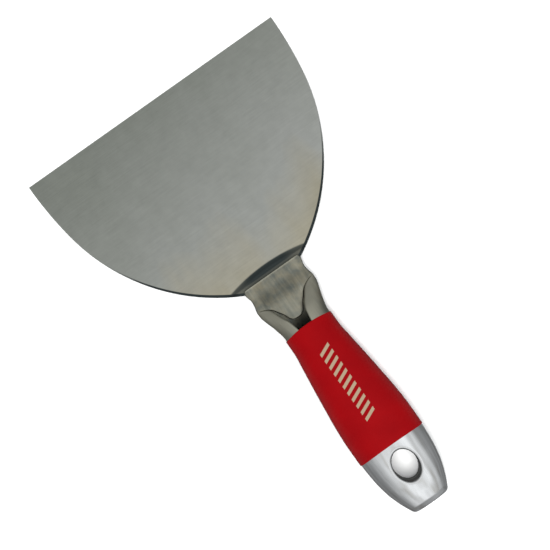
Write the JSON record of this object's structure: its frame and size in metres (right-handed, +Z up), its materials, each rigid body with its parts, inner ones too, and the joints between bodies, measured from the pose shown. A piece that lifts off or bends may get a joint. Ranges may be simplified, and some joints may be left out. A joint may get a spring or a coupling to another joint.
{
  "type": "drywall taping knife",
  "caption": "Taping knife with a wide fan-shaped steel blade, a lapped neck, a red sleeved tubular grip and a polished hammer end with an oval hanging hole.",
  "frame": {"origin": "on the table, midway along the knife's overall length and width, as the knife lies face up on its working edge and its handle's belly", "axes": "+Y towards the working edge, +X across the blade to the right as seen from the front with the edge away, +Z up, out of the front face"},
  "size_m": [0.15, 0.2472, 0.0254],
  "materials": {
    "blade_steel": "taper-ground stainless sheet, fine cross-ground, lightly scratched",
    "neck_steel": "pressed stainless sheet, satin",
    "weld_metal": "stainless weld, brushed clean",
    "hammer_end_steel": "solid stainless, mirror polished",
    "grip_red": "shrunk-on PVC sleeve, smooth, soft gloss"
  },
  "bodies": {
    "root": {"blade": "blade_steel", "neck_plate": "neck_steel", "handle_tube": "neck_steel", "seam_weld": "weld_metal", "tang_spot_welds": "weld_metal", "tang_end_weld": "weld_metal", "mouth_weld": "weld_metal", "end_cap": "hammer_end_steel", "grip_sleeve": "grip_red"}
  },
  "joints": []
}
